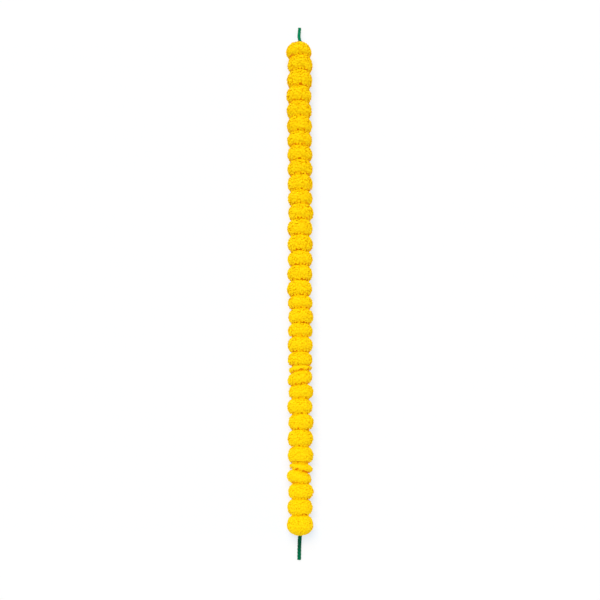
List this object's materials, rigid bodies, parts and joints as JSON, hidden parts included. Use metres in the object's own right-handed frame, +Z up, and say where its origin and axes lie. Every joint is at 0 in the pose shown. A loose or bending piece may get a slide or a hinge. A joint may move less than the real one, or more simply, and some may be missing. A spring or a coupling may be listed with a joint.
{
  "type": "marigold garland",
  "caption": "Straight garland of yellow marigold blooms threaded face to back on a green twisted cord, with a short free end of cord past the last bloom at each end.",
  "frame": {"origin": "on the surface that the garland lies on, under the middle of the row of blooms", "axes": "+Z up, +Y along the row of blooms towards the end that their faces point to, +X to the right seen from above"},
  "size_m": [0.0781, 1.5419, 0.0706],
  "materials": {
    "petals": "soft matt petals",
    "cord": "twisted matt fibre"
  },
  "bodies": {
    "root": {"bloom_01": "petals", "bloom_02": "petals", "bloom_03": "petals", "bloom_04": "petals", "bloom_05": "petals", "bloom_06": "petals", "bloom_07": "petals", "bloom_08": "petals", "bloom_09": "petals", "bloom_10": "petals", "bloom_11": "petals", "bloom_12": "petals", "bloom_13": "petals", "bloom_14": "petals", "bloom_15": "petals", "bloom_16": "petals", "bloom_17": "petals", "bloom_18": "petals", "bloom_19": "petals", "bloom_20": "petals", "bloom_21": "petals", "bloom_22": "petals", "bloom_23": "petals", "bloom_24": "petals", "bloom_25": "petals", "bloom_26": "petals", "bloom_27": "petals", "bloom_28": "petals", "bloom_29": "petals", "bloom_30": "petals", "bloom_31": "petals", "bloom_32": "petals", "bloom_33": "petals", "bloom_34": "petals", "cord": "cord"}
  },
  "joints": []
}
